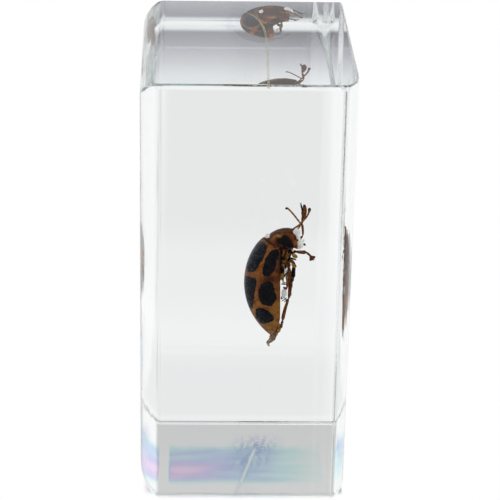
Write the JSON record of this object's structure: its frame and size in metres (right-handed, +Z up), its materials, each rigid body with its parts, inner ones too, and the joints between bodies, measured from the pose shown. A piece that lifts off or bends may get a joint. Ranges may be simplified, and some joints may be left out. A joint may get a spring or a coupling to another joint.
{
  "type": "insect in resin block",
  "caption": "Clear cast resin block with rounded edges that holds a spotted ladybird beetle for display and study.",
  "frame": {"origin": "centre of the face that the block stands on", "axes": "+Z up, along the block's longest edges; +X along its shortest edges, from the face that the beetle's back is turned to towards the face that its legs point at; +Y along the edges that run away from the viewer of the narrow upright face"},
  "size_m": [0.0208, 0.028, 0.044],
  "materials": {
    "clear_resin": "polished",
    "pour_seam": "polished",
    "air_bubble": "polished",
    "orange_shell": "glossy",
    "black_shell": "glossy",
    "brown_limb": "satin",
    "wing_membrane": "satin"
  },
  "bodies": {
    "root": {"resin_block": "clear_resin"}
  },
  "joints": []
}
